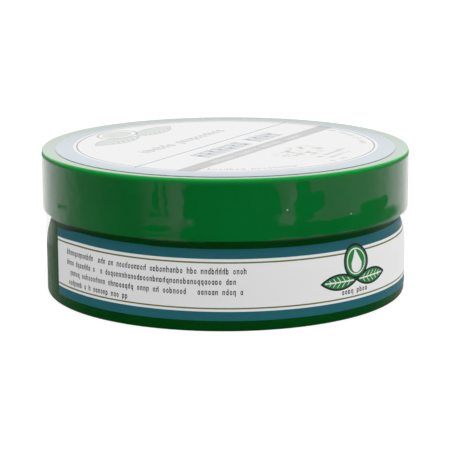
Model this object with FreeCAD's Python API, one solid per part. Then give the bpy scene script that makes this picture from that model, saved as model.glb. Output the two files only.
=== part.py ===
import FreeCAD, Part
import math
import os

# Low screw-top tub of shaving soap: tub, poured soap, wrap label, lid, liner, lid label and
# shrunk film. All sizes are in millimetres. The axis of the tub is Z and it stands on Z = 0.
# The front is towards -Y, and angles are measured round Z from +X.

# Overall sizes
TUB_HEIGHT = 36.3          # from the surface it stands on to the top of the lid
BODY_DIAMETER = 90.6       # outside of the straight wall
LID_HEIGHT = 14.7

# Tub body
BODY_WALL = 1.2
FLOOR_THICKNESS = 1.3
BASE_CORNER = 1.0          # outside radius where the wall meets the base
CAVITY_CORNER = 2.0        # inside radius where the wall meets the floor
FOOT_WIDTH = 3.0           # flat ring that the tub stands on
PUSH_UP = 0.8              # how far the base is raised inside the foot ring
PUSH_UP_SLOPE = 1.2        # width of the slope up from the foot ring
GATE_RADIUS = 1.6          # moulding gate mark in the middle of the base
GATE_HEIGHT = 0.3
SHOULDER_RADIUS = 17.3     # curve from the straight wall in to the neck
NECK_INSET = 2.2           # neck's outside, in from the straight wall
NECK_WALL = 1.5
NECK_REVEAL = 1.2          # neck left showing between the shoulder and the lid
RIM_ROUNDING = 0.5

# Screw thread, one start and right-handed
PITCH = 5.08
THREAD_TURNS = 1.25
THREAD_HEIGHT = 1.3        # how far a bead stands out of its wall
BEAD_ROOT = 2.1            # width of a bead at its wall
BEAD_CREST = 1.2           # width of a bead at its tip
BEAD_SINK = 0.3            # how far a bead is rooted in its wall
THREAD_CLEARANCE = 0.35    # from the tub's bead to the lid's wall, and the other way
FLANK_CLEARANCE = 0.45     # between the flanks that pull the lid down
BEAD_BELOW_RIM = 2.9       # middle of the tub's last turn, under the rim
BEAD_ABOVE_EDGE = 1.7      # middle of the lid's first turn, over the lid's lower edge
THREAD_PHASE = 300.0       # angle at which the tub's bead starts, in degrees
STUB_HEIGHT = 0.15         # height of a bead where it stops
LID_RUN_OUT = 12.0         # radius of the scoop that fades the lid's bead out

# Lid
LID_WALL = 1.25
LID_TOP = 1.5
LID_EDGE = 0.5             # radius round the lid's top edge
LID_LOWER_EDGE = 0.3
LINER_THICKNESS = 1.0
LINER_GAP = 0.8            # from the liner's edge to the lid's wall
LINER_HOLD = 0.2           # how far the retaining ring reaches under the liner
RING_RADIUS = 0.6          # section radius of the retaining ring
RING_DROP = 0.1            # gap between the retaining ring and the liner

# Soap
SOAP_SHRINK = 0.15         # gap that the soap leaves at the wall as it sets
HEADSPACE = 6.0            # from the top of the soap to the rim

# Labels and film
PAPER = 0.12
LABEL_BOTTOM = 2.75        # lower edge of the wrap label, over the surface
LABEL_DROP = 2.2           # upper edge of the wrap label, under the lid's lower edge
LABEL_GAP = 29.6           # distance round the wall between the label's two ends
LABEL_END = 206.0          # angle of the end that shows from the front, in degrees
LABEL_TILT = 0.3           # how crooked the wrap label is stuck on, in degrees
LID_LABEL_MARGIN = 3.4     # from the edge of the lid in to its label
LID_LABEL_SHIFT = 1.1      # how far the lid's label is off centre, towards the front
FILM = 0.08
FILM_CLEARANCE = 0.1
FILM_BOTTOM = 1.2          # lower edge of the film, over the surface
FILM_TOP_GAP = 0.3         # upper edge of the film, under the top of the lid

# Heights and radii that follow from the sizes above
lid_bottom = TUB_HEIGHT - LID_HEIGHT
lid_underside = TUB_HEIGHT - LID_TOP
rim = lid_underside - LINER_THICKNESS
body_radius = BODY_DIAMETER / 2
neck_radius = body_radius - NECK_INSET
mouth_radius = neck_radius - NECK_WALL
lid_bore = neck_radius + THREAD_HEIGHT + THREAD_CLEARANCE
lid_radius = lid_bore + LID_WALL
shoulder_centre = body_radius - SHOULDER_RADIUS
shoulder_height = math.sqrt(SHOULDER_RADIUS ** 2 - (neck_radius - shoulder_centre) ** 2)
shoulder_start = lid_bottom - NECK_REVEAL - shoulder_height
floor_top = PUSH_UP + FLOOR_THICKNESS
soap_top = rim - HEADSPACE
liner_radius = lid_bore - LINER_GAP
thread_rise = PITCH * THREAD_TURNS
tub_bead_start = rim - BEAD_BELOW_RIM - thread_rise
lid_bead_start = lid_bottom + BEAD_ABOVE_EDGE

CUT = 5.0                  # how far a cutting tool runs past what it cuts
Z_AXIS = FreeCAD.Vector(0, 0, 1)
ORIGIN = FreeCAD.Vector(0, 0, 0)


def at(radius, height):
    """Point of a half section, in the XZ plane."""
    return FreeCAD.Vector(radius, 0, height)


def line(start, end):
    return Part.LineSegment(at(*start), at(*end)).toShape()


def arc(centre, radius, from_angle, to_angle):
    """Arc of a half section, about a centre, between two angles in degrees up from +X."""
    points = []
    for angle in (from_angle, (from_angle + to_angle) / 2, to_angle):
        turn = math.radians(angle)
        points.append(at(centre[0] + radius * math.cos(turn), centre[1] + radius * math.sin(turn)))
    return Part.Arc(*points).toShape()


def revolve(edges):
    section = Part.Face(Part.Wire(edges))
    return section.revolve(ORIGIN, Z_AXIS, 360)


def disc(radius, bottom, top):
    return Part.makeCylinder(radius, top - bottom, at(0, bottom))


def turned(shape, degrees):
    """Copy of a shape, turned about the tub's axis."""
    copy = shape.copy()
    copy.rotate(ORIGIN, Z_AXIS, degrees)
    return copy


def edges_at(shape, height, radius):
    """Round edges of a shape at one height and radius."""
    found = []
    for edge in shape.Edges:
        circle = edge.Curve
        if isinstance(circle, Part.Circle):
            if abs(circle.Center.z - height) < 1e-6 and abs(circle.Radius - radius) < 1e-6:
                found.append(edge)
    return found


def barrel(inset, neck, bottom, corner, top):
    """Solid with the tub's outline: wall, shoulder and neck, set in from the tub's outside."""
    wall = body_radius - inset
    curve = SHOULDER_RADIUS - inset
    neck_angle = math.degrees(math.acos((neck - shoulder_centre) / curve))
    neck_start = shoulder_start + curve * math.sin(math.radians(neck_angle))
    return revolve([
        line((0, bottom), (wall - corner, bottom)),
        arc((wall - corner, bottom + corner), corner, -90, 0),
        line((wall, bottom + corner), (wall, shoulder_start)),
        arc((shoulder_centre, shoulder_start), curve, 0, neck_angle),
        line((neck, neck_start), (neck, top)),
        line((neck, top), (0, top)),
        line((0, top), (0, bottom)),
    ])


def bead(wall, direction, start_height, start_angle):
    """Screw bead on a round wall, standing out (direction 1) or in (direction -1)."""
    root = wall - direction * BEAD_SINK
    tip = wall + direction * THREAD_HEIGHT
    widening = (BEAD_ROOT - BEAD_CREST) / THREAD_HEIGHT * BEAD_SINK
    half_root = (BEAD_ROOT + widening) / 2
    half_crest = BEAD_CREST / 2
    corners = [at(root, -half_root), at(tip, -half_crest), at(tip, half_crest), at(root, half_root)]
    section = Part.makePolygon(corners + corners[:1])
    path = Part.makeHelix(PITCH, thread_rise, wall)
    ridge = Part.Wire(path.Edges).makePipeShell([section], True, True)
    ridge.translate(at(0, start_height))
    return turned(ridge, start_angle)


def bead_ends(start_height, start_angle):
    """Angle and height of the two ends of a bead."""
    end_angle = start_angle + 360 * THREAD_TURNS
    return [(start_angle, start_height), (end_angle, start_height + thread_rise)]


def outer_thread():
    """The tub's bead, faded out at each end by a flat."""
    ridge = bead(neck_radius, 1, tub_bead_start, THREAD_PHASE)
    flat = neck_radius + STUB_HEIGHT
    width = 2 * neck_radius
    for angle, height in bead_ends(tub_bead_start, THREAD_PHASE):
        corner = FreeCAD.Vector(flat, -width / 2, height - PITCH / 2)
        tool = Part.makeBox(CUT, width, PITCH, corner)
        ridge = ridge.cut(turned(tool, angle))
    return ridge


def inner_thread():
    """The lid's bead, under the tub's, faded out at each end by a round scoop."""
    width_in_mesh = (BEAD_ROOT + BEAD_CREST) / 2
    rise = lid_bead_start + width_in_mesh + FLANK_CLEARANCE - tub_bead_start
    start_angle = THREAD_PHASE + 360 * rise / PITCH
    ridge = bead(lid_bore, -1, lid_bead_start, start_angle)
    reach = lid_bore - STUB_HEIGHT - LID_RUN_OUT
    for angle, height in bead_ends(lid_bead_start, start_angle):
        tool = Part.makeCylinder(LID_RUN_OUT, PITCH, at(reach, height - PITCH / 2))
        ridge = ridge.cut(turned(tool, angle))
    return ridge


def jar_body():
    outside = barrel(0, neck_radius, 0, BASE_CORNER, rim)
    cavity = barrel(BODY_WALL, mouth_radius, floor_top, CAVITY_CORNER, rim + CUT)
    foot = body_radius - BASE_CORNER - FOOT_WIDTH
    hollow = Part.makeCone(foot, foot - PUSH_UP_SLOPE, PUSH_UP)
    gate = disc(GATE_RADIUS, PUSH_UP - GATE_HEIGHT, PUSH_UP + FLOOR_THICKNESS / 2)
    tub = outside.cut(cavity).cut(hollow)
    rim_edges = edges_at(tub, rim, neck_radius) + edges_at(tub, rim, mouth_radius)
    tub = tub.makeFillet(RIM_ROUNDING, rim_edges)
    return tub.fuse(gate).fuse(outer_thread()).removeSplitter()


def soap_puck():
    inset = BODY_WALL + SOAP_SHRINK
    return barrel(inset, mouth_radius - SOAP_SHRINK, floor_top, CAVITY_CORNER, soap_top)


def wrap_label():
    """Paper band on the wall and the start of the shoulder, with a gap at the back."""
    outside = barrel(-PAPER, neck_radius, 0, BASE_CORNER, rim)
    band = outside.cut(barrel(0, neck_radius, 0, BASE_CORNER, rim))
    low = LABEL_BOTTOM
    high = lid_bottom - LABEL_DROP
    span = BODY_DIAMETER + 2 * CUT
    slab = Part.makeBox(span, span, high - low, FreeCAD.Vector(-span / 2, -span / 2, low))
    slab.rotate(at(0, (low + high) / 2), FreeCAD.Vector(0, 1, 0), LABEL_TILT)
    gap_degrees = math.degrees(LABEL_GAP / body_radius)
    wedge = Part.makeCylinder(span, TUB_HEIGHT, ORIGIN, Z_AXIS, gap_degrees)
    return band.common(slab).cut(turned(wedge, LABEL_END - gap_degrees))


def screw_lid():
    shell = disc(lid_radius, lid_bottom, TUB_HEIGHT)
    shell = shell.makeFillet(LID_EDGE, edges_at(shell, TUB_HEIGHT, lid_radius))
    shell = shell.cut(disc(lid_bore, lid_bottom - CUT, lid_underside))
    lower_edges = edges_at(shell, lid_bottom, lid_radius) + edges_at(shell, lid_bottom, lid_bore)
    shell = shell.makeFillet(LID_LOWER_EDGE, lower_edges)
    ring_middle = liner_radius - LINER_HOLD + RING_RADIUS
    ring = Part.makeTorus(ring_middle, RING_RADIUS, at(0, rim - RING_DROP - RING_RADIUS))
    return shell.fuse(ring).fuse(inner_thread()).removeSplitter()


def lid_liner():
    return disc(liner_radius, rim, lid_underside)


def lid_label():
    label = disc(lid_radius - LID_LABEL_MARGIN, TUB_HEIGHT, TUB_HEIGHT + PAPER)
    label.translate(FreeCAD.Vector(0, -LID_LABEL_SHIFT, 0))
    return label


def shrink_band():
    """Film sleeve at the size it has on the lid, straight so that it can be slid off."""
    inside = lid_radius + FILM_CLEARANCE
    top = TUB_HEIGHT - FILM_TOP_GAP
    return disc(inside + FILM, FILM_BOTTOM, top).cut(disc(inside, FILM_BOTTOM - CUT, top + CUT))


PIECES = (jar_body, soap_puck, wrap_label, screw_lid, lid_liner, lid_label, shrink_band)


def main():
    os.makedirs("parts", exist_ok=True)
    for make in PIECES:
        shape = make()
        if not shape.isValid() or len(shape.Solids) != 1:
            raise ValueError(make.__name__ + " isn't one valid solid")
        solid = shape.Solids[0]
        solid.exportStep("parts/" + make.__name__ + ".step")
        box = solid.BoundBox
        print("%-12s %9.1f mm3  z %.2f to %.2f  width %.2f" % (
            make.__name__, solid.Volume, box.ZMin, box.ZMax, box.XLength))


main()
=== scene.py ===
"""A low green screw-top tub of shaving soap, with a wrap label, a lid label and a clear film sleeve.

Overall sizes and places come from the frame's CAD nodes. What is set here is how each piece is
shaped in detail, and what it is made of. Shapes are in metres, and prints and other patterns are in
millimetres. The place round the tub is a turn: shapes count it from +X, and prints and patterns count
it in degrees from the front, which is -Y, positive to the right.
"""

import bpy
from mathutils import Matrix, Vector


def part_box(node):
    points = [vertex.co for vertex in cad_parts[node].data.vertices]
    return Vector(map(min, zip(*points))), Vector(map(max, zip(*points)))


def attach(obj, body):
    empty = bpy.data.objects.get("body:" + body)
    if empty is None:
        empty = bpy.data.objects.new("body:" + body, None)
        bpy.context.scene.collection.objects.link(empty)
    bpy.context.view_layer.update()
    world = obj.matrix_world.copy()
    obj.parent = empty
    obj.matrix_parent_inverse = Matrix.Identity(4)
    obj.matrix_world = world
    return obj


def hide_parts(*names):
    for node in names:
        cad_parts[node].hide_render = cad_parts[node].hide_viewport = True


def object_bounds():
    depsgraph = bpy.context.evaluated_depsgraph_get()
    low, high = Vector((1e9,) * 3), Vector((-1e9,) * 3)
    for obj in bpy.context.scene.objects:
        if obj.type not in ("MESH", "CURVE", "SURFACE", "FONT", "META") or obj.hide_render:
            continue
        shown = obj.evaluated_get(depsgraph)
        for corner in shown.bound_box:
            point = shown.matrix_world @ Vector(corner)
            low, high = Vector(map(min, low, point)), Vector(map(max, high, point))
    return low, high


bl_info = {
    "name": "Shaving Soap Tub",
    "version": (1, 0, 0),
    "blender": (4, 5, 0),
    "location": "3D Viewport > Sidebar > Soap Tub",
    "description": "Models a screw-top tub of shaving soap with its labels and shrink film",
    "category": "Object",
}

import math

import bmesh
import bpy
from bpy.props import FloatProperty, FloatVectorProperty, IntProperty, PointerProperty
from mathutils import Euler, Vector

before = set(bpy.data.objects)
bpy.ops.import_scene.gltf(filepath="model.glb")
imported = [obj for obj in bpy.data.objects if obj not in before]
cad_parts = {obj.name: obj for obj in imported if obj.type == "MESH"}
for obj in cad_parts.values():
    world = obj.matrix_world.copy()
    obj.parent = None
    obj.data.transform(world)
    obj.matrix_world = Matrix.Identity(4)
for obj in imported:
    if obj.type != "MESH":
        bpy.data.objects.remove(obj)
CAD_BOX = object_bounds()

MM = 0.001
ORIGIN = (0.0, 0.0, 0.0)
DOWNWARDS = (0.0, 0.0, -1.0)
MERGE_DISTANCE = 0.002 * MM
ARC_STEPS = 7
FRONT = 270.0  # the front as a turn from +X, in degrees

TUB_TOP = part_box("jar_body")[1]
SOAP_BOTTOM, SOAP_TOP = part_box("soap_puck")
LID_BOTTOM, LID_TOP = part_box("screw_lid")
LINER_BOTTOM, LINER_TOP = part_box("lid_liner")
WRAP_BOTTOM, WRAP_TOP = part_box("wrap_label")
LID_LABEL_BOTTOM, LID_LABEL_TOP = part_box("lid_label")
FILM_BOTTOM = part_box("shrink_band")[0]


# Sizes and colours that a user would change


def length(name, description, millimetres):
    """Property for one length of the tub, given in millimetres."""
    return FloatProperty(
        name=name, description=description, default=millimetres * MM, unit="LENGTH", precision=5)


def angle(name, description, degrees):
    """Property for one angle of the tub, given in degrees."""
    return FloatProperty(name=name, description=description, default=math.radians(degrees), subtype="ANGLE")


def colour(name, description, default):
    """Property for one colour of the tub's finishes."""
    return FloatVectorProperty(
        name=name, description=description, default=default, subtype="COLOR", min=0, max=1)


class TubSizes(bpy.types.PropertyGroup):
    """Sizes of the tub below its screw thread, and of the soap in it."""

    wall: length("Wall", "Thickness of the tub's wall", 1.2)
    base_corner: length("Base corner", "Rounding of the outside at the base", 1.0)
    cavity_corner: length("Inside corner", "Rounding of the inside at the floor", 2.0)
    foot_width: length("Foot width", "Width of the ring that the tub stands on", 3.0)
    foot_rounding: length("Foot rounding", "Rounding of the foot ring's inner edge", 0.25)
    push_up: length("Push-up", "Height of the underside inside the foot ring", 0.8)
    push_up_slope: length("Push-up slope", "Width of the slope up from the foot ring", 1.2)
    gate_radius: length("Gate radius", "Radius of the moulding gate's mark", 1.6)
    gate_height: length("Gate height", "How far the gate's mark stands out", 0.3)
    shoulder_radius: length("Shoulder radius", "Radius of the curve from the wall in to the neck", 17.3)
    neck_inset: length("Neck inset", "How far the neck is inside the wall", 2.2)
    neck_wall: length("Neck wall", "Thickness of the neck", 1.5)
    neck_reveal: length("Neck reveal", "Bare neck between the shoulder and the lid", 1.2)
    rim_rounding: length("Rim rounding", "Rounding of both edges of the rim", 0.5)
    soap_clearance: length("Soap clearance", "Gap between the soap and the tub", 0.15)
    soap_dish: length("Soap dish", "How far the poured soap sinks in the middle", 0.9)


class ThreadSizes(bpy.types.PropertyGroup):
    """Sizes of the screw beads on the tub and in the lid."""

    pitch: length("Pitch", "Rise of the thread in one turn", 5.08)
    turns: FloatProperty(name="Turns", description="Length of each bead, in turns", default=1.25)
    height: length("Height", "How far a bead stands out from its wall", 1.3)
    root: length("Root", "Width of a bead at its wall", 2.1)
    crest: length("Crest", "Width of a bead at its crest", 1.2)
    sink: length("Sink", "How deep a bead's root reaches into its wall", 0.3)
    flank_clearance: length("Flank clearance", "Gap under the lid's bead", 0.45)
    below_rim: length("Below rim", "From the rim down to the middle of the tub's bead at its top end", 2.9)
    above_edge: length("Above edge", "From the lid's lower edge up to the start of its bead", 1.7)
    phase: angle("Phase", "Where the tub's bead starts", 300)
    run_out: angle("Run-out", "Turn over which each end of a bead fades into its wall", 24)
    stub: length("Stub", "What is left of the bead's height at its ends", 0.15)


class LidSizes(bpy.types.PropertyGroup):
    """Sizes of the lid and its foam liner."""

    wall: length("Wall", "Thickness of the skirt", 1.25)
    top: length("Top", "Thickness of the top", 1.5)
    edge: length("Edge", "Rounding of the top edge", 0.5)
    lower_edge: length("Lower edge", "Rounding of the skirt's lower edges", 0.3)
    ring_radius: length("Ring radius", "Radius of the bead that holds the liner", 0.6)
    ring_drop: length("Ring drop", "Gap between the holding bead and the liner", 0.1)
    ring_hold: length("Ring hold", "How far the holding bead reaches in under the liner", 0.2)
    liner_edge: length("Liner edge", "Rounding of the foam liner's edges", 0.25)
    liner_dent: length("Liner dent", "Depth of the mark that the tub's rim presses into the foam", 0.15)


class LabelSizes(bpy.types.PropertyGroup):
    """Sizes of the two paper labels."""

    paper: length("Paper", "Thickness of the label paper", 0.12)
    glue: length("Glue", "Gap between the wrap label and the wall", 0.01)
    band_height: length("Band height", "Height of the wrap label", 16.65)
    end_gap: length("End gap", "Distance round the wall between the wrap label's ends", 29.6)
    end: angle("End", "Where the wrap label's left end is, as a turn from +X", 206)
    tilt: angle("Tilt", "How crooked the wrap label is stuck on", 0.3)


class FilmSizes(bpy.types.PropertyGroup):
    """Sizes of the shrink film sleeve."""

    thickness: length("Thickness", "Thickness of the film", 0.04)
    lid_gap: length("Lid gap", "From the lid out to the outside of the film", 0.1)
    wall_gap: length("Wall gap", "From the wrap label out to the outside of the film", 0.08)
    slack_low: length("Slack starts", "Height where the film leaves the wall", 12.8)
    slack_dip: length("Slack dip", "How far the film is drawn in over the shoulder", 0.14)
    ripple: length("Ripple", "Size of the film's ripples over the shoulder", 0.3)
    curl: angle("Curl", "How far the film curls in over the lid's top edge", 42)
    steps: IntProperty(name="Steps", description="Faces round the film", default=480)


class Colours(bpy.types.PropertyGroup):
    """Colours of the plastics, the soap, the foam, the paper and its inks."""

    # The lid's and the tub's greens differ partly in the plastics' own colour and partly as painted light:
    # the lid is lighter for light passing through its thin wall, and the tub is darker as shade.
    lid: colour("Lid", "Green plastic of the lid", (0.0, 0.134, 0.0205))
    # Painted glow: this lighter green is painted on the lid's top edge for the light that passes through
    # the plastic there.
    lid_edge_glow: colour("Lid edge", "Lid's top edge, where light passes through", (0.014, 0.50, 0.07))
    tub: colour("Tub", "Darker green plastic of the tub", (0.0, 0.050, 0.0045))
    soap: colour("Soap", "Cream-coloured soap", (0.83, 0.78, 0.66))
    foam: colour("Foam", "White foam of the liner", (0.82, 0.83, 0.82))
    paper: colour("Paper", "White label paper", (0.81, 0.81, 0.81))
    blue: colour("Blue ink", "Blue bands of the labels", (0.012, 0.119, 0.147))
    pale_blue: colour("Pale blue ink", "Ring round the lid's label", (0.53, 0.60, 0.66))
    gold: colour("Gold ink", "Thin lines of the wrap label", (0.15, 0.165, 0.035))
    black: colour("Dark ink", "Small print and outlines", (0.020, 0.024, 0.028))
    leaf: colour("Green ink", "Green print of the emblem", (0.022, 0.215, 0.050))
    grey: colour("Grey ink", "Grey band on the lid's label", (0.20, 0.20, 0.21))
    slate: colour("Slate ink", "Large print on the lid's label", (0.16, 0.19, 0.27))


# Modelling helpers, all on Blender's own mesh operators


def select_none():
    """Leaves edit mode and deselects every object."""
    if bpy.context.object and bpy.context.object.mode == "EDIT":
        bpy.ops.object.mode_set(mode="OBJECT")
    bpy.ops.object.select_all(action="DESELECT")


def arc(centre, radius, start, end, steps=ARC_STEPS):
    """Round stretch of an outline; angles in degrees, from outwards up."""
    turns = [math.radians(start + (end - start) * step / steps) for step in range(steps + 1)]
    return [(centre[0] + radius * math.cos(turn), centre[1] + radius * math.sin(turn)) for turn in turns]


def draw_outline(name, outline, turn=0.0, closed=True):
    """New piece holding a line through points given by radius and height, drawn at one turn from +X."""
    points = [
        Vector((radius * math.cos(turn), radius * math.sin(turn), height)) for radius, height in outline
    ]
    if closed:
        points.append(points[0])
    select_none()
    bpy.ops.mesh.primitive_plane_add(size=MM, location=ORIGIN)
    piece = bpy.context.object
    piece.name = piece.data.name = name
    bpy.ops.object.mode_set(mode="EDIT")
    bpy.ops.mesh.merge(type="CENTER")
    bpy.ops.transform.translate(value=points[0])
    for start, end in zip(points, points[1:]):
        bpy.ops.mesh.extrude_vertices_move(TRANSFORM_OT_translate={"value": end - start})
    return piece


def clean_up():
    """Merges what meets and turns every face outwards."""
    bpy.ops.mesh.select_all(action="SELECT")
    bpy.ops.mesh.remove_doubles(threshold=MERGE_DISTANCE)
    bpy.ops.mesh.normals_make_consistent(inside=False)


def turn_outline(name, outline, steps=256, angle=math.tau, turn=0.0, centre=ORIGIN, closed=True):
    """New piece turned from an outline, as on a lathe. It is left in edit mode."""
    piece = draw_outline(name, outline, turn, closed)
    if centre != ORIGIN:
        bpy.ops.mesh.select_all(action="SELECT")
        bpy.ops.transform.translate(value=centre)
    bpy.ops.mesh.select_all(action="SELECT")
    bpy.ops.mesh.spin(steps=steps, angle=angle, center=centre, axis=DOWNWARDS)
    clean_up()
    return piece


def select_points(piece, chosen):
    """Selects the corner points that chosen(point) is true for, in edit mode."""
    mesh = bmesh.from_edit_mesh(piece.data)
    for point in mesh.verts:
        point.select_set(chosen(point))
    mesh.select_flush_mode()
    bmesh.update_edit_mesh(piece.data)


def apply_modifier(piece, kind, **settings):
    """Adds a modifier, sets it and applies it."""
    select_none()
    piece.select_set(True)
    bpy.context.view_layer.objects.active = piece
    modifier = piece.modifiers.new(kind.title(), kind)
    for setting, value in settings.items():
        setattr(modifier, setting, value)
    bpy.ops.object.modifier_apply(modifier=modifier.name)


def group_points(piece, name, weight):
    """New group of a piece's points, each as strong as weight(its place) says."""
    group = piece.vertex_groups.new(name=name)
    for point in piece.data.vertices:
        group.add([point.index], weight(point.co), "REPLACE")
    return group.name


def ripple(piece, group, scale, strength):
    """Moves a piece's surface in and out by soft noise, as much as a group of its points says."""
    clouds = bpy.data.textures.new(piece.name + "_ripple", "CLOUDS")
    clouds.noise_scale = scale
    clouds.noise_depth = 2
    apply_modifier(piece, "DISPLACE", texture=clouds, vertex_group=group, strength=strength,
                   mid_level=0.5, texture_coords="LOCAL", direction="NORMAL")


def loose_end(label, start_turn, shoulder, curve):
    """Lets the label's left end stand straight up instead of following the tub's shoulder.

    Both its faces move alike, by their height, so the paper keeps its thickness. That end is on the
    left and in front, so outwards is towards -X and -Y."""
    select_none()
    furthest = 4 * MM
    loose_degrees, end_degrees = 14, 3

    def shift(place, along):
        """How far a place moves outwards along one axis, as a share of the furthest."""
        turn = math.degrees(math.atan2(place.x, -place.y))
        if turn <= start_turn - end_degrees:
            return 0.0
        near = 1 - smooth_rise(turn, start_turn, start_turn + loose_degrees)
        rise = max(0.0, place.z - shoulder)
        outwards = (curve - math.sqrt(curve ** 2 - rise ** 2)) * near
        return min(1.0, outwards * abs(along) / math.hypot(place.x, place.y) / furthest)

    for axis, name in enumerate("XY"):
        group = group_points(label, "loose_" + name, lambda place: shift(place, place[axis]))
        apply_modifier(label, "DISPLACE", vertex_group=group, strength=-furthest, mid_level=0.0,
                       direction=name)


def unite(piece, other):
    """Joins another closed shape onto a piece."""
    apply_modifier(piece, "BOOLEAN", operation="UNION", solver="EXACT", object=other)
    bpy.data.objects.remove(other)


def smooth_rise(value, low, high):
    """0 below low, 1 above high, and a soft S between."""
    share = min(1.0, max(0.0, (value - low) / (high - low)))
    return share * share * (3 - 2 * share)


def finish_piece(piece, node, body, finish, crease=32):
    """Smooths a piece, gives it its finish and stands it in for its CAD node.

    Edges sharper than the crease angle, in degrees, stay sharp."""
    select_none()
    piece.select_set(True)
    bpy.context.view_layer.objects.active = piece
    bpy.ops.object.shade_smooth_by_angle(angle=math.radians(crease))
    piece.data.materials.clear()
    piece.data.materials.append(finish)
    lowest, highest = CAD_BOX
    slip = 0.01 * MM
    for point in piece.data.vertices:
        for axis in range(3):
            if not lowest[axis] - slip <= point.co[axis] <= highest[axis] + slip:
                raise RuntimeError(f"{piece.name} reaches outside the tub's box at {tuple(point.co)}")
    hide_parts(node)
    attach(piece, body)


# Shader helpers


class Number:
    """A node's output that Python's operators work on: each one adds a Math node."""

    def __init__(self, finish, socket):
        self.finish = finish
        self.socket = socket

    def __add__(self, other):
        return self.finish.maths("ADD", self, other)

    def __radd__(self, other):
        return self.finish.maths("ADD", other, self)

    def __sub__(self, other):
        return self.finish.maths("SUBTRACT", self, other)

    def __rsub__(self, other):
        return self.finish.maths("SUBTRACT", other, self)

    def __mul__(self, other):
        return self.finish.maths("MULTIPLY", self, other)

    def __rmul__(self, other):
        return self.finish.maths("MULTIPLY", other, self)

    def __truediv__(self, other):
        return self.finish.maths("DIVIDE", self, other)

    def __rtruediv__(self, other):
        return self.finish.maths("DIVIDE", other, self)

    def __pow__(self, other):
        return self.finish.maths("POWER", self, other)

    def __mod__(self, other):
        return self.finish.maths("FLOORED_MODULO", self, other)

    def __neg__(self):
        return self.finish.maths("MULTIPLY", self, -1.0)

    def __abs__(self):
        return self.finish.maths("ABSOLUTE", self)


class Finish:
    """A node tree that a finish is built in."""

    def __init__(self, owner):
        owner.use_nodes = True
        self.owner = owner
        self.nodes = owner.node_tree.nodes
        self.links = owner.node_tree.links
        self.nodes.clear()

    def node(self, kind, settings=None, sockets=None, output=0):
        """Adds a node, sets it up, then fills its sockets with values or links."""
        made = self.nodes.new(kind)
        for setting, value in (settings or {}).items():
            setattr(made, setting, value)
        for socket, value in (sockets or {}).items():
            if isinstance(value, Number):
                self.links.new(value.socket, made.inputs[socket])
            else:
                made.inputs[socket].default_value = value
        return Number(self, made.outputs[output]) if made.outputs else None

    def maths(self, operation, *values):
        """Adds one Math node."""
        return self.node("ShaderNodeMath", {"operation": operation}, dict(enumerate(values)))

    def smaller(self, *values):
        """The smallest of several numbers."""
        least = values[0]
        for value in values[1:]:
            least = self.maths("MINIMUM", least, value)
        return least

    def larger(self, *values):
        """The largest of several numbers."""
        most = values[0]
        for value in values[1:]:
            most = self.maths("MAXIMUM", most, value)
        return most

    def rise(self, value, low, high):
        """0 below low, 1 above high, and a soft S between."""
        return self.node("ShaderNodeMapRange", {"interpolation_type": "SMOOTHSTEP"},
                         {"Value": value, "From Min": low, "From Max": high})

    def mix(self, share, first, second):
        """Blends two colours; plain ones are given as three numbers."""
        first, second = (c if isinstance(c, Number) else (*c, 1.0) for c in (first, second))
        return self.node("ShaderNodeMix", {"data_type": "RGBA"}, {0: share, 6: first, 7: second}, output=2)

    def place(self):
        """Place on the piece, in millimetres."""
        point = self.node("ShaderNodeTexCoord", output="Object")
        return self.node("ShaderNodeVectorMath", {"operation": "SCALE"}, {0: point, "Scale": 1 / MM})

    def parts(self, point):
        """The three numbers of a point or a direction."""
        return [self.node("ShaderNodeSeparateXYZ", sockets={0: point}, output=axis) for axis in "XYZ"]

    def turn_from_front(self, x, y):
        """Degrees round the tub from the front, positive to the right."""
        return self.maths("ARCTAN2", x, -y) * math.degrees(1)

    def point(self, x, y, z):
        """The point that three numbers give."""
        return self.node("ShaderNodeCombineXYZ", sockets={0: x, 1: y, 2: z})

    def noise(self, point, scale, detail):
        """Soft noise from 0 to 1; scale is in features a millimetre."""
        return self.node("ShaderNodeTexNoise", sockets={"Vector": point, "Scale": scale, "Detail": detail})

    def cells(self, point, scale):
        """Distance from the middle of scattered cells; scale is in cells a millimetre."""
        return self.node("ShaderNodeTexVoronoi", sockets={"Vector": point, "Scale": scale},
                         output="Distance")

    def dice(self, step, line):
        """One fixed random number from 0 to 1 for each whole step along a line."""
        return self.node("ShaderNodeTexWhiteNoise", {"noise_dimensions": "2D"},
                         {"Vector": self.point(step, line, 0.0)})

    def bump(self, height):
        """Surface relief from a height in millimetres."""
        return self.node("ShaderNodeBump", sockets={"Height": height, "Distance": MM, "Strength": 1.0})

    def reach(self, across, up, centre_across, centre_up):
        """Distance from one point of the print."""
        return self.maths("SQRT", (across - centre_across) ** 2.0 + (up - centre_up) ** 2.0)

    def disc(self, across, up, centre_across, centre_up, radius):
        """Distance outside a printed disc, below 0 inside it."""
        return self.reach(across, up, centre_across, centre_up) - radius

    def leaf(self, across, up, centre, bow, radius):
        """Distance outside the pointed leaf that two discs share, below 0 inside it."""
        return self.larger(self.disc(across, up, centre, bow, radius),
                           self.disc(across, up, centre, -bow, radius))

    def inked(self, distance, blur=0.05):
        """1 where a distance says inside, with a soft printed edge."""
        return 1 - self.rise(distance, -blur, blur)

    def printed(self, shade, distance, ink, strength=1.0):
        """A shade with ink over it where a distance says inside."""
        return self.mix(self.inked(distance) * strength, shade, ink)

    def surface(self, shader):
        """Puts a shader on the material's output and gives the material back."""
        self.node("ShaderNodeOutputMaterial", sockets={"Surface": shader})
        return self.owner

    def skin(self, sockets):
        """Ends the material with one plain surface shader."""
        return self.surface(self.node("ShaderNodeBsdfPrincipled", sockets=sockets))


def new_finish(name):
    return Finish(bpy.data.materials.new(name))


def tinted(colour, share):
    """A plain colour made darker or lighter."""
    return [share * part for part in colour]


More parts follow.
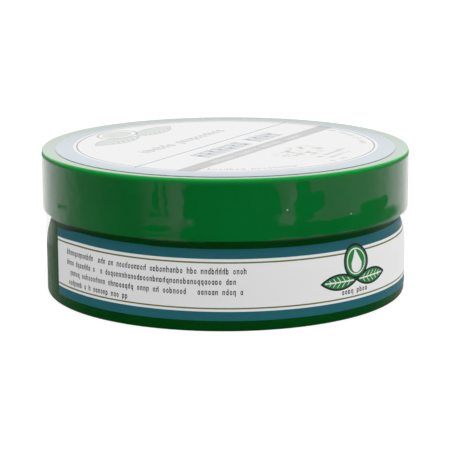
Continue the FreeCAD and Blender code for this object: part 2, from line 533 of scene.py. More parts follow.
def plastic(name, colour, edge_glow_colour, edge_low, edge_high, radius):
    """Moulded plastic: a satin side, a glossier top face, and up at its top edge a painted glow in a second
    colour, for the light that passes through the plastic there.
    """
    finish = new_finish(name)
    point = finish.place()
    x, y, z = finish.parts(point)
    cloudy = finish.noise(point, 0.06, 3.0)
    shade = finish.mix(finish.rise(cloudy, 0.3, 0.7), tinted(colour, 0.94), tinted(colour, 1.06))
    # Painted glow: towards the top edge the colour is painted in the edge colour, for the light that passes
    # through the plastic there.
    outer = finish.rise(finish.reach(x, y, 0.0, 0.0), radius - 0.6, radius - 0.15)
    lit = finish.larger((z - edge_low) / (edge_high - edge_low), 0.0) ** 3.0 * outer
    shade = finish.mix(lit, shade, edge_glow_colour)
    grain = finish.noise(point, 1.8, 3.0)
    waves = finish.noise(point, 0.14, 1.0)
    side_coat, top_coat = 0.20, 0.85
    on_top = finish.rise(z, edge_high - 0.5, edge_high - 0.05)
    return finish.skin({
        "Base Color": shade, "Roughness": 0.30 + 0.10 * finish.noise(point, 0.5, 4.0),
        "Normal": finish.bump(grain * 0.003 + waves * 0.03), "Specular IOR Level": 0.0,
        "Coat Weight": side_coat + (top_coat - side_coat) * on_top, "Coat Roughness": 0.14})


def soap_finish(colours):
    """Poured soap: waxy, faintly mottled, with small pits, painted darker as shade in them, and the odd
    bubble.
    """
    finish = new_finish("Soap")
    point = finish.place()
    mottle = finish.noise(point, 0.09, 5.0)
    shade = finish.mix(finish.rise(mottle, 0.35, 0.65), tinted(colours.soap, 0.93), colours.soap)
    pitted_areas = finish.rise(finish.noise(point, 0.25, 1.0), 0.52, 0.6)
    pits = (1 - finish.rise(finish.cells(point, 0.55), 0.05, 0.16)) * pitted_areas
    # Painted shade: the pits are painted darker, for the shade that falls in them.
    shade = finish.mix(pits * 0.35, shade, tinted(colours.soap, 0.6))
    swirls = finish.noise(point, 0.35, 6.0)
    return finish.skin({
        "Base Color": shade, "Roughness": 0.38 + 0.2 * swirls,
        "Normal": finish.bump(swirls * 0.10 - pits * 0.35),
        "Subsurface Weight": 0.15, "Subsurface Scale": 1.5 * MM})


def foam_finish(colours):
    """Closed-cell foam: fine round cells under a matt skin."""
    finish = new_finish("Liner foam")
    cells = finish.cells(finish.place(), 2.6)
    shade = finish.mix(finish.rise(cells, 0.1, 0.6), tinted(colours.foam, 0.93), colours.foam)
    return finish.skin({
        "Base Color": shade, "Roughness": 0.62 + 0.1 * cells, "Normal": finish.bump(cells * 0.06)})


def small_print(finish, across, up, line, start, end, base, height, letter):
    """One line of marks that stand for small print: random rings and strokes in groups as long as words.
    Some look like letters, and they spell nothing.

    It runs from start to end on the height base, in cells one letter wide, and its line number sets its
    dice. Each cell is blank or holds a ring, a ring with a stem, or an arch with a stem. Places and
    widths inside a cell are shares of its width and height."""
    arch_below, stem_below, blank_below = 0.42, 0.72, 0.15
    centre, half_width, half_height, half_stroke = 0.48, 0.30, 0.44, 0.125
    place = (across - start) / letter
    cell = finish.maths("FLOOR", place)
    inside = place - cell
    first, second, third = (finish.dice(cell, line + shift) for shift in (0.0, 0.37, 0.71))
    last_cell = (end - start) / letter - 1.5
    blank = finish.larger(finish.maths("LESS_THAN", first, blank_below),
                          finish.maths("GREATER_THAN", cell, last_cell))
    level = (up - base) / height
    from_centre = abs(inside - centre)
    ring = (from_centre / half_width) ** 2.0 + (abs(level - 0.5) / half_height) ** 2.0
    ring = (abs(finish.maths("SQRT", ring) - 0.86) - 0.34) * half_width * letter
    ring = ring + finish.maths("LESS_THAN", second, arch_below)
    top = 1 + 0.45 * finish.maths("GREATER_THAN", third, 0.66)
    bottom = -0.38 * finish.maths("LESS_THAN", third, 0.12)
    side = 0.20 + 0.50 * finish.maths("GREATER_THAN", first, 0.6)
    stem = (abs(inside - side) - half_stroke) * letter
    stem = finish.larger(stem, (level - top) * height, (bottom - level) * height)
    stem = stem + finish.maths("GREATER_THAN", second, stem_below)
    arch = finish.larger((from_centre - half_width) * letter, (abs(level - 0.9) - 0.11) * height)
    leg = finish.larger((abs(from_centre - 0.24) - 0.115) * letter, (abs(level - 0.5) - 0.5) * height)
    arch = finish.smaller(arch, leg) + finish.maths("GREATER_THAN", second, arch_below)
    return finish.larger(finish.smaller(ring, stem, arch), start - across, 2 * blank - 1)


def large_print(finish, across, up, line, start, end, base, height, letter):
    """One word of heavy upright bars, joined now and then, that stands for large lettering.

    It is laid out as small_print is."""
    place = (across - start) / letter
    cell = finish.maths("FLOOR", place)
    inside = place - cell
    toss = finish.dice(cell, line)
    stem = (abs(inside - 0.22) - 0.13) * letter
    other = (abs(inside - 0.68) - 0.10) * letter
    joint_level = base + height * (0.15 + 0.7 * toss)
    joint = finish.larger((abs(inside - 0.45) - 0.3) * letter, abs(up - joint_level) - height * 0.09)
    above_and_below = abs(up - base - height / 2) - height / 2
    blank = finish.maths("LESS_THAN", toss, 0.12)
    return finish.larger(finish.smaller(stem, other, joint), start - across, across - end,
                         above_and_below, 2 * blank - 1)


def paragraph(finish, across, up, line, left, ends, top, leading, height, letter):
    """Lines of small print, one below the other, each as long as its own end says."""
    return finish.smaller(*(
        small_print(finish, across, up, line + row, left, end, top - leading * row, height, letter)
        for row, end in enumerate(ends)))


def leaf_pair(finish, across, up, middle, droop):
    """Two leaves that spread from a middle line: their shape, and the veins inside them."""
    half_length, bow, radius, drop = 5.4, 7.0, 8.8, 1.35
    rib_length, half_rib, vein_gap, half_vein = 4.4, 0.16, 1.3, 0.10
    leaves, veins = [], []
    for side in (-1, 1):
        along = (across - middle) * side
        height = up + drop - along * droop
        leaf = finish.leaf(along, height, half_length, bow, radius)
        rib = finish.larger(abs(height) - half_rib, abs(along - half_length) - rib_length)
        side_veins = abs((along * 0.9 - abs(height) * 0.8) % vein_gap - vein_gap / 2) - half_vein
        leaves.append(leaf)
        veins += [rib, finish.larger(side_veins, leaf + 0.5)]
    return finish.smaller(*leaves), finish.smaller(*veins)


def wrap_label_finish(colours, sizes, middle):
    """Coated paper printed with two blue bands, thin gold lines, small print and a plain leaf emblem."""
    finish = new_finish("Wrap label")
    point = finish.place()
    x, y, z = finish.parts(point)
    start_turn = math.degrees(sizes.end) - FRONT
    turn = (finish.turn_from_front(x, y) - start_turn + 1) % 360.0 + start_turn - 1
    degree = math.radians(TUB_TOP.x / MM + sizes.paper / MM)
    across = turn * degree
    up = z - middle / MM + x * math.tan(sizes.tilt)
    half = sizes.band_height / MM / 2

    top_band, bottom_band, rule_inset, rule_half = 2.15, 2.2, 2.95, 0.18
    rules = finish.smaller(abs(up - half + rule_inset), abs(up + half - rule_inset)) - rule_half
    shade = finish.printed(colours.paper, rules, colours.gold)
    bands = finish.smaller(half - top_band - up, up + half - bottom_band)
    shade = finish.printed(shade, bands, colours.blue)

    front_ends = [end * degree for end in (7.0, 4.0, 6.5, -29.0)]
    front = paragraph(finish, across, up, 3.0, -57.6 * degree, front_ends, 2.75, 2.45, 1.0, 0.83)
    back_left = 176 * degree
    back_ends = [back_left + width for width in (38.0, 35.5, 37.0, 21.0)]
    back = paragraph(finish, across, up, 11.0, back_left, back_ends, 2.6, 2.3, 0.9, 0.78)
    title_left = 98 * degree
    title = large_print(finish, across, up, 21.0, title_left, title_left + 42, -0.4, 3.3, 3.0)
    subtitle = small_print(finish, across, up, 23.0, title_left + 6, title_left + 36, -3.4, 1.1, 1.05)

    emblem = 43.2 * degree
    badge = finish.disc(across, up, emblem, 3.05, 3.9)
    outline, inner_line = abs(badge) - 0.28, abs(badge + 0.9) - 0.14
    drop_tip = finish.larger(2.5 - up, (abs(across - emblem) * 1.9 + up - 6.0) / 2.15)
    drop = finish.smaller(finish.disc(across, up, emblem, 2.1, 1.7), drop_tip)
    leaves, veins = leaf_pair(finish, across, up, emblem, 0.02)
    caption = small_print(finish, across, up, 31.0, emblem - 4.9, emblem + 4.9, -4.5, 0.95, 0.98)

    shade = finish.printed(shade, badge, colours.leaf)
    shade = finish.printed(shade, finish.smaller(inner_line, drop), colours.paper)
    shade = finish.printed(shade, outline, colours.black)
    shade = finish.printed(shade, leaves, colours.leaf)
    shade = finish.printed(shade, veins, colours.paper)
    shade = finish.printed(shade, abs(leaves) - 0.24, colours.black)
    words = finish.smaller(caption, front, back, title, subtitle)
    shade = finish.printed(shade, words, colours.black)
    return coated_paper(finish, point, shade, gloss=0.2)


def coated_paper(finish, point, shade, gloss):
    """Smooth coated paper under print, with a faint fibre; gloss is the weight of its coat."""
    fibre = finish.noise(point, 1.1, 6.0)
    shade = finish.mix(0.02 * finish.noise(point, 3.0, 3.0), shade, (0.5, 0.5, 0.5))
    waves = finish.noise(point, 0.10, 1.0)
    return finish.skin({
        "Base Color": shade, "Roughness": 0.25 + 0.03 * fibre,
        "Normal": finish.bump(fibre * 0.0015 + waves * 0.02), "Specular IOR Level": 0.0,
        "Coat Weight": gloss, "Coat Roughness": 0.24})


def lid_label_finish(colours):
    """Coated paper printed with a pale ring, a grey band across it and faint print on each side."""
    finish = new_finish("Lid label")
    point = finish.place()
    x, y = finish.parts(point)[:2]
    ring_x, ring_y = 0.1, 0.6
    from_middle = finish.reach(x, y, ring_x, ring_y)
    slant = math.radians(60.5)
    right = (x - ring_x) * math.sin(slant) - (y - ring_y) * math.cos(slant)
    along = (x - ring_x) * math.cos(slant) + (y - ring_y) * math.sin(slant)
    up = -right
    panel_radius, ring_radius = 36.6, 38.3

    shade = finish.printed(colours.paper, abs(from_middle - 37.4) - 0.17, colours.grey)
    shade = finish.printed(shade, ring_radius - from_middle, colours.pale_blue)
    rule = finish.larger(abs(right + 2.95) - 0.16, from_middle - ring_radius)
    shade = finish.printed(shade, rule, colours.blue)
    band = finish.larger(abs(right - 9.98) - 2.22, from_middle - ring_radius)
    shade = finish.printed(shade, band, colours.grey, 0.62)
    in_band = small_print(finish, along, up, 41.0, -24.0, 22.0, -10.9, 1.5, 1.5)
    shade = finish.printed(shade, finish.larger(in_band, band + 0.4), colours.paper, 0.6)
    title = large_print(finish, along, up, 43.0, -19.0, 20.0, -6.0, 5.6, 3.3)
    shade = finish.printed(shade, title, colours.slate, 0.85)
    script = finish.smaller(
        small_print(finish, along, up, 51.0, -20.5, 20.0, 10.2, 2.4, 2.3),
        small_print(finish, along, up, 57.0, -7.0, 9.0, -29.6, 1.1, 1.1),
        small_print(finish, along, up, 59.0, -5.0, 7.0, -32.2, 1.0, 1.0))
    script = finish.larger(script, from_middle - panel_radius)
    shade = finish.printed(shade, script, colours.grey, 0.7)

    turn = finish.turn_from_front(x - ring_x, y - ring_y) * math.radians(34.9)
    round_text = finish.smaller(*(
        small_print(finish, turn, -from_middle, line, start, end, -35.6, 1.3, 1.3)
        for line, start, end in ((61.0, -7.0, 20.0), (67.0, 28.0, 36.0), (71.0, 55.0, 80.0))))
    shade = finish.printed(shade, round_text, colours.grey, 0.6)

    badge_height, sprig_height, herb_height = 32.0, 26.0, -21.5
    badge = finish.reach((along + 0.7) * 0.62, up, 0.0, badge_height) - 4.2
    sprigs = []
    for side in (-1, 1):
        reach = along * side
        height = up - sprig_height - reach * 0.08
        sprigs.append(finish.leaf(reach, height, 8.8, 10.0, 13.4))
    sprig = finish.smaller(*sprigs)
    shade = finish.printed(shade, sprig, colours.leaf, 0.22)
    ribs = finish.larger(abs((along + abs(up - sprig_height)) % 2.2 - 1.1) - 0.35, sprig + 0.4)
    shade = finish.printed(shade, finish.smaller(ribs, abs(sprig) - 0.28), colours.black, 0.30)
    shade = finish.printed(shade, badge, colours.paper)
    shade = finish.printed(shade, badge + 1.0, colours.leaf, 0.30)
    shade = finish.printed(shade, abs(badge) - 0.22, colours.black, 0.5)
    herb = finish.reach((along + 1.0) * 0.55, up, 0.0, herb_height) - 5.0
    sprinkled = finish.rise(finish.noise(finish.point(along, up, 0.0), 0.45, 3.0), 0.50, 0.60)
    shade = finish.mix(0.5 * finish.inked(herb, 1.2) * sprinkled, shade, colours.gold)

    label_middle = (LID_LABEL_BOTTOM.y + LID_LABEL_TOP.y) / 2 / MM
    label_radius = LID_LABEL_TOP.x / MM
    # Painted shade: the label's outermost tenth of a millimetre is painted darker, as the shade at its cut
    # edge.
    edge = finish.rise(finish.reach(x, y, 0.0, label_middle), label_radius - 0.10, label_radius - 0.03)
    shade = finish.mix(edge, shade, tinted(colours.pale_blue, 0.6))
    return coated_paper(finish, point, shade, gloss=0.55)


# Where the film clings flat to the lid's skirt. Each row is a patch: the middle's degrees from the
# front and its height in millimetres, then half the width in degrees and half the height
CLINGING = (
    (-20.1, 31.8, 0.95, 3.4),
    (-20.9, 27.3, 1.7, 0.6),
    (-17.5, 31.2, 0.5, 4.0),
    (-20.6, 24.2, 4.6, 0.75),
    (-20.4, 22.7, 4.2, 0.4),
    (-9.0, 23.4, 4.2, 1.9),
    (-9.4, 31.0, 2.8, 4.3),
    (3.0, 28.4, 13.0, 8.0),
    (38.0, 23.7, 27.0, 1.8),
    (22.7, 31.5, 2.3, 5.0),
    (25.4, 30.2, 4.8, 2.3),
    (23.6, 28.0, 3.2, 2.2),
    (22.4, 25.6, 1.9, 2.4),
    (50.0, 26.2, 6.5, 2.2),
    (54.5, 27.2, 3.0, 1.5),
    (-60.5, 25.4, 0.8, 0.45),
    (-57.6, 25.5, 1.3, 0.3),
)

# Narrow places where the film stands off most and gets a painted highlight, in rows of the same kind
STANDING = (
    (-14.3, 30.0, 2.1, 5.4),
    (19.7, 31.2, 0.9, 2.8),
    (17.9, 26.4, 3.2, 1.3),
    (-16.6, 25.9, 1.0, 0.8),
    (-10.2, 25.9, 0.8, 0.8),
)


def patches(finish, across, up, table):
    """Distance outside the nearest of a table's rounded patches, below 0 inside one."""
    distances = []
    for turn, height, half_turn, half_height in table:
        sideways = (abs(across - turn) / half_turn) ** 3.0
        upward = (abs(up - height) / half_height) ** 3.0
        distances.append(((sideways + upward) ** (1 / 3) - 1) * min(half_turn, half_height))
    return finish.smaller(*distances)


def film_finish():
    """Clear shrink film: nearly unseen where it clings, shiny where it stands off; a painted white haze
    there, painted highlights on its shining places, crinkles and streaks, and painted glints stand in for
    reflections.
    """
    finish = new_finish("Clear film")
    point = finish.place()
    x, y, z = finish.parts(point)
    turn = finish.turn_from_front(x, y)
    across = turn + (finish.noise(point, 0.45, 4.0) - 0.5) * 3.4
    up = z + (finish.noise(finish.point(y, z, x), 0.40, 4.0) - 0.5) * 2.2
    # Regions, by degrees from the front and by height
    from_left = finish.rise(across, -27.0, -21.0)
    behind = finish.rise(abs(turn), 80.0, 95.0)
    at_sides = finish.rise(abs(turn), 62.0, 82.0)
    on_lid = finish.rise(z, 21.2, 21.6) * (1 - finish.rise(z, 34.9, 35.4))
    slack = finish.rise(z, 13.0, 15.0) * (1 - finish.rise(z, 21.0, 21.8)) * at_sides

    loose = finish.rise(finish.noise(point, 0.06, 2.0), 0.40, 0.66)
    off = finish.rise(patches(finish, across, up, CLINGING), -0.3, 0.35) * (1 - behind * loose) * on_lid
    off = off * (1 - 0.6 * finish.rise(turn, 12.0, 13.0) * (1 - finish.rise(turn, 13.0, 18.0)))
    streaks = finish.noise(finish.point(turn * 2.6, 0.0, z * 0.05), 0.9, 4.0)
    # Painted highlight: streaky white is painted in the places where the film stands off most.
    standing = 1 - finish.rise(patches(finish, across, up, STANDING), -0.5, 0.5)
    bright = standing * on_lid * (0.1 + 1.6 * streaks)
    # Painted highlights: the crinkles over the slack shoulder and the slanted streaks below the lid are
    # painted white into the haze.
    crinkle = finish.rise(finish.noise(finish.point(turn * 0.5, 0.0, z * 0.9), 0.5, 3.0), 0.56, 0.75)
    slanted = finish.noise(finish.point(turn * 1.1 + z * 0.9, z * 0.05, 0.0), 0.9, 4.0)
    slanted = finish.rise(slanted, 0.5, 0.7) * at_sides * (1 - on_lid)
    # Painted glints: tiny scattered spots are painted white, as glints of light on the film.
    painted_glints = 1 - finish.rise(finish.cells(point, 0.11), 0.016, 0.024)
    # Painted reflection: a white matt haze is painted where the film stands off, with the painted
    # highlights and glints added in.
    painted_haze = 0.0004 + off * (0.0006 + 0.0105 * from_left) + 0.009 * bright
    painted_haze = painted_haze + 0.012 * crinkle * slack + 0.003 * slanted + 0.5 * painted_glints

    facing = finish.node("ShaderNodeLayerWeight", sockets={"Blend": 0.5}, output="Facing")
    head_on = 0.04
    fresnel = head_on + (1 - head_on) * facing ** 5.0
    sheen = fresnel * (0.05 + 0.95 * off + 0.25 * slack)
    share = sheen + painted_haze
    scratch = finish.noise(finish.point(turn * 0.35, 0.0, z * 3.0), 0.6, 4.0)
    body = finish.node("ShaderNodeBsdfPrincipled", sockets={
        "Base Color": (0.95, 0.95, 0.95, 1.0), "Metallic": sheen / share, "Roughness": 0.10,
        "Normal": finish.bump(finish.noise(point, 0.22, 2.0) * 0.25 + scratch * 0.01)})
    clear = finish.node("ShaderNodeBsdfTransparent")
    return finish.surface(finish.node("ShaderNodeMixShader", sockets={0: share, 1: clear, 2: body}))


# Pieces


def barrel_side(sizes, inset, bottom, corner, neck, top):
    """Outline of the tub's wall, shoulder and neck, from the bottom up, set in from the outside."""
    wall = TUB_TOP.x - inset
    curve = sizes.shoulder_radius - inset
    centre = TUB_TOP.x - sizes.shoulder_radius
    neck_angle = math.degrees(math.acos((neck - centre) / curve))
    return (
        arc((wall - corner, bottom + corner), corner, -90, 0)
        + arc((centre, shoulder_start(sizes)), curve, 0, neck_angle, steps=14)
        + [(neck, top)]
    )


def shoulder_start(sizes):
    """Height where the tub's wall turns in to its shoulder."""
    centre = TUB_TOP.x - sizes.shoulder_radius
    neck = TUB_TOP.x - sizes.neck_inset
    rise = math.sqrt(sizes.shoulder_radius ** 2 - (neck - centre) ** 2)
    return LID_BOTTOM.z - sizes.neck_reveal - rise


def screw_bead(name, thread, wall, direction, start_height, start_turn):
    """Closed screw bead on a round wall, standing out (direction 1) or in (-1), faded at both ends."""
    steps_a_turn = 200
    root = wall - direction * thread.sink
    tip = wall + direction * thread.height
    widening = (thread.root - thread.crest) / thread.height * thread.sink
    half_root = (thread.root + widening) / 2
    half_crest = thread.crest / 2
    section = [(root, -half_root), (tip, -half_crest), (tip, half_crest), (root, half_root)]
    bead = draw_outline(name, [(radius, height + start_height) for radius, height in section], start_turn)
    bpy.ops.mesh.select_all(action="SELECT")
    bpy.ops.mesh.remove_doubles(threshold=MERGE_DISTANCE)
    rings = round(steps_a_turn * thread.turns)
    apply_modifier(bead, "SCREW", axis="Z", angle=math.tau * thread.turns, use_merge_vertices=False,
                   screw_offset=thread.pitch * thread.turns, steps=rings, render_steps=rings)
    bpy.ops.object.mode_set(mode="EDIT")
    fade = round(steps_a_turn * thread.run_out / math.tau)
    for ring in range(fade):
        left = smooth_rise(ring, -1, fade)
        radius = wall + direction * (thread.stub + (thread.height - thread.stub) * left)
        for number in (ring, rings - ring):
            corners = {number * len(section) + 1, number * len(section) + 2}
            select_points(bead, lambda point: point.index in corners)
            bpy.ops.transform.resize(value=(radius / tip, radius / tip, 1.0), center_override=ORIGIN)
    bpy.ops.mesh.select_all(action="SELECT")
    bpy.ops.mesh.fill_holes(sides=len(section))
    clean_up()
    return bead


def tub_bead_start(thread):
    """Height of the middle of the tub's bead at its lower end."""
    return TUB_TOP.z - thread.below_rim - thread.pitch * thread.turns


class MakeTub(bpy.types.Operator):
    """Models the tub with its foot, shoulder, neck and screw bead"""

    bl_idname = "soap_tub.tub"
    bl_label = "Tub"

    def execute(self, context):
        sizes, thread = context.scene.tub_sizes, context.scene.thread_sizes
        neck = TUB_TOP.x - sizes.neck_inset
        mouth = neck - sizes.neck_wall
        rim, rounding = TUB_TOP.z, sizes.rim_rounding
        foot = TUB_TOP.x - sizes.base_corner - sizes.foot_width
        outside = barrel_side(sizes, 0, 0, sizes.base_corner, neck, rim - rounding)
        inside = barrel_side(sizes, sizes.wall, SOAP_BOTTOM.z, sizes.cavity_corner, mouth, rim - rounding)
        slope_angle = math.degrees(math.atan2(sizes.push_up, sizes.push_up_slope))
        soft = sizes.foot_rounding
        half_edge = 0.1 * MM
        gate_edge = (sizes.gate_radius - half_edge, sizes.push_up - half_edge)
        outline = (
            [(0, sizes.push_up - sizes.gate_height)]
            + arc(gate_edge, 2 * half_edge, -90, 0, steps=3)
            + [(sizes.gate_radius + half_edge, sizes.push_up), (foot - sizes.push_up_slope, sizes.push_up)]
            + arc((foot + soft * 0.7, soft), soft, 180 + slope_angle * 0.6, 270, steps=4)
            + outside
            + arc((neck - rounding, rim - rounding), rounding, 0, 90)[1:]
            + arc((mouth + rounding, rim - rounding), rounding, 90, 180)
            + inside[:-1][::-1]
            + [(0, SOAP_BOTTOM.z)]
        )
        tub = turn_outline("tub", outline, closed=False)
        select_none()
        unite(tub, screw_bead("tub_bead", thread, neck, 1, tub_bead_start(thread), thread.phase))
        colours = context.scene.tub_colours
        finish = plastic("Tub plastic", colours.tub, colours.tub, edge_low=33.0, edge_high=33.9,
                         radius=TUB_TOP.x / MM)
        finish_piece(tub, "jar_body", "jar", finish)
        return {"FINISHED"}


class MakeSoap(bpy.types.Operator):
    """Models the cake of soap, poured level and sunk a little in the middle"""

    bl_idname = "soap_tub.soap"
    bl_label = "Soap"

    def execute(self, context):
        sizes = context.scene.tub_sizes
        gap = sizes.soap_clearance
        edge = TUB_TOP.x - sizes.neck_inset - sizes.neck_wall - gap
        floor, crest = SOAP_BOTTOM.z + 0.01 * MM, SOAP_TOP.z
        side = barrel_side(sizes, sizes.wall + gap, floor, sizes.cavity_corner, edge, crest)
        rings = 24
        lip, lip_drop = 1.5 * MM, 0.5 * MM
        top = []
        for ring in range(1, rings + 1):
            radius = edge * (1 - ring / rings)
            sunk = sizes.soap_dish * smooth_rise(edge - radius, 0, edge * 0.55)
            sunk += lip_drop * smooth_rise(edge - radius, 0, lip)
            top.append((radius, crest - sunk))
        shoulder = ((0.0, 0.15), (0.35, 0.02), (0.9, 0.22))  # millimetres in from the side, and down
        crown = [(edge - inwards * MM, crest - drop * MM) for inwards, drop in shoulder]
        outline = [(0, floor)] + side[:-1] + crown + top
        soap = turn_outline("soap", outline, steps=192, closed=False)
        select_none()

        def poured(place):
            """Only the top ripples, and less towards its edge."""
            away = edge - math.hypot(place.x, place.y)
            return smooth_rise(away, 0.5 * MM, 6 * MM) if place.z > crest - 3 * MM else 0.0

        ripple(soap, group_points(soap, "poured", poured), scale=9 * MM, strength=0.5 * MM)
        finish_piece(soap, "soap_puck", "jar", soap_finish(context.scene.tub_colours))
        return {"FINISHED"}


class MakeLid(bpy.types.Operator):
    """Models the lid with its skirt, holding bead and screw bead"""

    bl_idname = "soap_tub.lid"
    bl_label = "Lid"

    def execute(self, context):
        sizes, thread = context.scene.lid_sizes, context.scene.thread_sizes
        radius, top, bottom = LID_TOP.x, LID_TOP.z, LID_BOTTOM.z
        bore = radius - sizes.wall
        edge, low = sizes.edge, sizes.lower_edge
        underside = top - sizes.top
        ring_height = LINER_BOTTOM.z - sizes.ring_drop - sizes.ring_radius
        ring = (LINER_TOP.x - sizes.ring_hold + sizes.ring_radius, ring_height)
        reach = math.degrees(math.acos((bore - ring[0]) / sizes.ring_radius))
        outline = (
            [(0, underside), (bore, underside)]
            + arc(ring, sizes.ring_radius, reach, 360 - reach, steps=12)
            + arc((bore + low, bottom + low), low, 180, 270, steps=4)
            + arc((radius - low, bottom + low), low, 270, 360, steps=4)
            + arc((radius - edge, top - edge), edge, 0, 90, steps=9)
            + [(0, top)]
        )
        lid = turn_outline("lid", outline, closed=False)
        select_none()
        start = bottom + thread.above_edge
        rise = start + (thread.root + thread.crest) / 2 + thread.flank_clearance - tub_bead_start(thread)
        turn = thread.phase + math.tau * rise / thread.pitch
        unite(lid, screw_bead("lid_bead", thread, bore, -1, start, turn))
        colours = context.scene.tub_colours
        finish = plastic("Lid plastic", colours.lid, colours.lid_edge_glow, edge_low=34.3, edge_high=36.25,
                         radius=radius / MM)
        finish_piece(lid, "screw_lid", "lid", finish)
        return {"FINISHED"}


class MakeLiner(bpy.types.Operator):
    """Models the foam liner, with the mark that the tub's rim presses into it"""

    bl_idname = "soap_tub.liner"
    bl_label = "Liner"

    def execute(self, context):
        sizes, tub = context.scene.lid_sizes, context.scene.tub_sizes
        radius, low, high = LINER_TOP.x, LINER_BOTTOM.z, LINER_TOP.z
        neck = TUB_TOP.x - tub.neck_inset
        middle, half = neck - tub.neck_wall / 2, tub.neck_wall / 2
        soft = sizes.liner_edge
        depth, steps = sizes.liner_dent, 8
        dent = [
            (middle + half * (1 - 2 * step / steps), low + depth * math.sin(math.pi * step / steps))
            for step in range(steps + 1)
        ]
        outline = (
            [(0, high)]
            + arc((radius - soft, high - soft), soft, 90, 0, steps=4)
            + arc((radius - soft, low + soft), soft, 0, -90, steps=4)
            + dent
            + [(middle - half - 8 * MM, low), (0, low)]
        )
        liner = turn_outline("liner", outline, steps=192, closed=False)
        finish_piece(liner, "lid_liner", "liner", foam_finish(context.scene.tub_colours))
        return {"FINISHED"}


class MakeWrapLabel(bpy.types.Operator):
    """Models the paper label round the tub's wall, stuck on a little crooked"""

    bl_idname = "soap_tub.wrap_label"
    bl_label = "Wrap label"

    def execute(self, context):
        sizes, tub = context.scene.label_sizes, context.scene.tub_sizes
        spare = 0.6 * MM
        low, high = WRAP_BOTTOM.z - spare, WRAP_TOP.z + spare
        middle = (WRAP_BOTTOM.z + WRAP_TOP.z) / 2
        centre, start = TUB_TOP.x - tub.shoulder_radius, shoulder_start(tub)

        def side(offset):
            curve = tub.shoulder_radius + offset
            end = math.degrees(math.asin((high - start) / curve))
            return [(TUB_TOP.x + offset, low)] + arc((centre, start), curve, 0, end, steps=12)

        outline = side(sizes.paper) + side(sizes.glue)[::-1]
        gap = sizes.end_gap / TUB_TOP.x
        label = turn_outline("wrap_label", outline, steps=320, angle=math.tau - gap, turn=sizes.end)
        bpy.ops.mesh.select_all(action="SELECT")
        bpy.ops.mesh.fill_holes(sides=0)
        upright = Vector((math.sin(sizes.tilt), 0, math.cos(sizes.tilt)))
        for side_sign in (-1, 1):
            cut_at = Vector((0, 0, middle)) + upright * side_sign * sizes.band_height / 2
            bpy.ops.mesh.select_all(action="SELECT")
            bpy.ops.mesh.bisect(
                plane_co=cut_at, plane_no=upright * side_sign, clear_outer=True, use_fill=True)
        clean_up()
        loose_end(label, math.degrees(sizes.end) - FRONT, start, tub.shoulder_radius)
        finish = wrap_label_finish(context.scene.tub_colours, sizes, middle)
        finish_piece(label, "wrap_label", "jar", finish)
        return {"FINISHED"}


class MakeLidLabel(bpy.types.Operator):
    """Models the round paper label on the lid"""

    bl_idname = "soap_tub.lid_label"
    bl_label = "Lid label"

    def execute(self, context):
        radius = (LID_LABEL_TOP.x - LID_LABEL_BOTTOM.x) / 2
        centre = (0.0, (LID_LABEL_TOP.y + LID_LABEL_BOTTOM.y) / 2, 0.0)
        low, high = LID_LABEL_BOTTOM.z + 0.005 * MM, LID_LABEL_TOP.z
        soft = 0.03 * MM
        outline = (
            [(0, low), (radius, low)]
            + arc((radius - soft, high - soft), soft, 0, 90, steps=3)
            + [(radius * share / 6, high) for share in range(5, -1, -1)]
        )
        label = turn_outline("lid_label", outline, steps=240, centre=centre, closed=False)
        finish = lid_label_finish(context.scene.tub_colours)
        finish_piece(label, "lid_label", "lid", finish)
        return {"FINISHED"}


class MakeFilm(bpy.types.Operator):
    """Models the shrink film: tight on the lid and the wall, slack and rippled over the shoulder"""

    bl_idname = "soap_tub.film"
    bl_label = "Film"

    def execute(self, context):
        sizes, lid, label = context.scene.film_sizes, context.scene.lid_sizes, context.scene.label_sizes
        on_lid = LID_TOP.x + sizes.lid_gap
        on_wall = TUB_TOP.x + label.paper + sizes.wall_gap
        edge = LID_BOTTOM.z
        ring_gap = 0.42 * MM
        curl_centre = (LID_TOP.x - lid.edge, LID_TOP.z - lid.edge)

        dip_end, flare_start, flare_end = edge - 4 * MM, edge - 2.9 * MM, edge - 0.3 * MM

        def radius_at(height):
            """The film dips in over the shoulder, then flares out to the lid just below its edge."""
            dip = sizes.slack_dip * smooth_rise(height, sizes.slack_low, dip_end)
            flare = smooth_rise(height, flare_start, flare_end)
            return (on_wall - dip) * (1 - flare) + on_lid * flare

        rings = round((curl_centre[1] - FILM_BOTTOM.z) / ring_gap)
        heights = [FILM_BOTTOM.z + (curl_centre[1] - FILM_BOTTOM.z) * ring / rings for ring in range(rings)]
        outline = [(radius_at(height), height) for height in heights]
        outline += arc(curl_centre, lid.edge + sizes.lid_gap, 0, math.degrees(sizes.curl), steps=5)
        film = turn_outline("film", outline, steps=sizes.steps, closed=False)
        select_none()

        def over_shoulder(place):
            """The film ripples only where it spans the shoulder."""
            started = smooth_rise(place.z, 13.2 * MM, 15.5 * MM)
            return started * (1 - smooth_rise(place.z, 18.6 * MM, 20.6 * MM))

        slack = group_points(film, "slack", over_shoulder)
        hem = group_points(film, "hem", lambda place: smooth_rise(4.5 * MM - place.z, 0, 3.3 * MM))
        ripple(film, slack, scale=5 * MM, strength=sizes.ripple)
        ripple(film, slack, scale=1.8 * MM, strength=sizes.ripple * 0.5)
        ripple(film, hem, scale=6 * MM, strength=0.1 * MM)
        apply_modifier(film, "SOLIDIFY", thickness=sizes.thickness, offset=-1.0)
        finish_piece(film, "shrink_band", "band", film_finish(), crease=60)
        return {"FINISHED"}


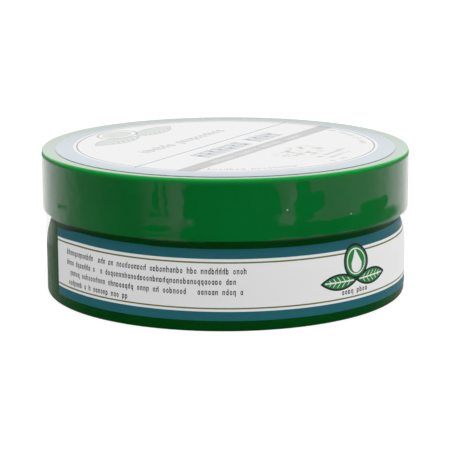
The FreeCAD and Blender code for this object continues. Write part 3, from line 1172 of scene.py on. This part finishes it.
class MakeStage(bpy.types.Operator):
    """Sets up the pale floor, the soft light and the camera"""

    bl_idname = "soap_tub.stage"
    bl_label = "Stage"

    def execute(self, context):
        select_none()
        bpy.ops.mesh.primitive_circle_add(vertices=96, radius=6.0, fill_type="NGON", location=ORIGIN)
        floor = context.object
        floor.name = "floor"
        floor.data.materials.append(floor_finish())
        floor.visible_glossy = floor.visible_diffuse = floor.visible_shadow = False
        floor.visible_transmission = False
        context.scene.world = bpy.data.worlds.new("Studio")
        studio_light(context.scene.world)
        place = Vector((0.0, -454.54, 114.11)) * MM
        turn = Euler([math.radians(angle) for angle in (77.781, 0.207, -0.030)])
        bpy.ops.object.camera_add(location=place, rotation=turn)
        camera = context.object
        camera.data.lens, camera.data.sensor_width = 146.3, 36.0
        camera.data.clip_start, camera.data.clip_end = 0.01, 100.0
        context.scene.camera = camera
        context.scene.view_settings.view_transform = "Standard"
        return {"FINISHED"}


def floor_finish():
    """White floor, bright enough to meet the background, that shows a faint shadow from above."""
    finish = new_finish("Floor")
    lit = finish.node("ShaderNodeBsdfDiffuse", sockets={"Color": (0.35, 0.35, 0.35, 1.0)})
    glow = finish.node("ShaderNodeEmission", sockets={"Color": (1.0, 1.0, 1.0, 1.0), "Strength": 0.86})
    both = finish.node("ShaderNodeAddShader", sockets={0: lit, 1: glow})
    clear = finish.node("ShaderNodeBsdfTransparent")
    below = finish.node("ShaderNodeNewGeometry", output="Backfacing")
    return finish.surface(finish.node("ShaderNodeMixShader", sockets={0: below, 1: both, 2: clear}))


def studio_light(world):
    """White to the eye; matt faces get a soft glow, strongest level with them and from the right;
    gloss mirrors a dark front and a bright back."""
    tree = Finish(world)
    direction = tree.node("ShaderNodeTexCoord", output="Generated")
    across, back, up = tree.parts(direction)
    glow = 0.36 + 1.12 * (1 - abs(up)) ** 2.0 + 0.45 * tree.rise(up, 0.5, 1.0)
    glow = glow * (0.7 + 0.3 * tree.rise(up, -0.3, 0.1)) * (0.98 + 0.40 * tree.rise(across, -0.1, 0.9))
    mirrored = 0.006 + 0.12 * tree.rise(back, -0.5, 0.2) + 0.55 * tree.rise(back, 0.1, 0.75)
    mirrored = mirrored + 0.25 * tree.rise(back, 0.7, 0.95)
    upper_back = 1.1 * tree.rise(up, -0.05, 0.25) + 0.5 * tree.rise(up, 0.10, 0.26)
    mirrored = mirrored * (1 + upper_back * tree.rise(back, 0.3, 0.9)) + 0.5 * tree.rise(up, 0.5, 0.9)
    gloss = tree.node("ShaderNodeLightPath", output="Is Glossy Ray")
    eye = tree.node("ShaderNodeLightPath", output="Is Camera Ray")
    strength = (glow * (1 - gloss) + mirrored * gloss) * (1 - eye) + eye
    light = tree.node("ShaderNodeBackground", sockets={"Color": (1.0, 1.0, 1.0, 1.0), "Strength": strength})
    tree.node("ShaderNodeOutputWorld", sockets={"Surface": light})


OPERATORS = (
    MakeTub, MakeSoap, MakeWrapLabel, MakeLid, MakeLiner, MakeLidLabel, MakeFilm, MakeStage,
)


class SoapTubPanel(bpy.types.Panel):
    """Lists the pieces of the soap tub"""

    bl_idname = "VIEW3D_PT_soap_tub"
    bl_label = "Soap Tub"
    bl_space_type = "VIEW_3D"
    bl_region_type = "UI"
    bl_category = "Soap Tub"

    def draw(self, context):
        for operator in OPERATORS:
            self.layout.operator(operator.bl_idname)


GROUPS = {
    "tub_sizes": TubSizes,
    "thread_sizes": ThreadSizes,
    "lid_sizes": LidSizes,
    "label_sizes": LabelSizes,
    "film_sizes": FilmSizes,
    "tub_colours": Colours,
}


def register():
    for name, group in GROUPS.items():
        bpy.utils.register_class(group)
        setattr(bpy.types.Scene, name, PointerProperty(type=group))
    for kind in (*OPERATORS, SoapTubPanel):
        bpy.utils.register_class(kind)


def unregister():
    for kind in (SoapTubPanel, *OPERATORS):
        bpy.utils.unregister_class(kind)
    for name, group in GROUPS.items():
        delattr(bpy.types.Scene, name)
        bpy.utils.unregister_class(group)


def main():
    register()
    for operator in OPERATORS:
        group, name = operator.bl_idname.split(".")
        getattr(getattr(bpy.ops, group), name)()


if __name__ == "__main__":
    main()
